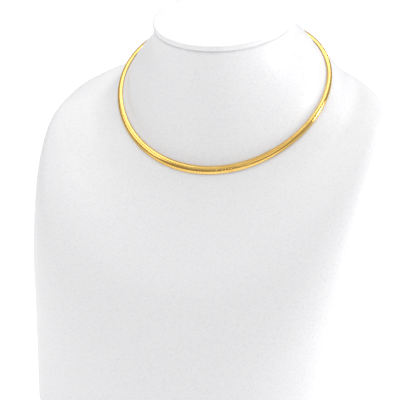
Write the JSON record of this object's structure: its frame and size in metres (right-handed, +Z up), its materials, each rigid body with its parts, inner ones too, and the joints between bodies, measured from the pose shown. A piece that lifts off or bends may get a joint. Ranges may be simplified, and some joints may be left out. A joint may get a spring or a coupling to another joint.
{
  "type": "omega necklace on a display neck bust",
  "caption": "Omega collar of domed metal plates, widest in front, on a flexible flat core with a box clasp, on a plain neck bust.",
  "frame": {"origin": "on the underside of the foot, at the middle of its widest line", "axes": "+Z up, the chest faces -Y, +X to the bust's left-hand side, which is the right as seen from the front"},
  "size_m": [0.2294, 0.2008, 0.2571],
  "materials": {
    "bust_skin": "matt white leatherette with a fine grain, over a light form",
    "cap_skin": "matt white leatherette with a fine grain",
    "plate_gold": "polished yellow gold",
    "core_mesh": "woven gold ribbon, hidden inside the plates",
    "clasp_gold": "polished yellow gold"
  },
  "bodies": {
    "root": {"bust": "bust_skin", "neck_cap": "cap_skin", "plates": "plate_gold", "core": "core_mesh", "clasp": "clasp_gold"}
  },
  "joints": []
}
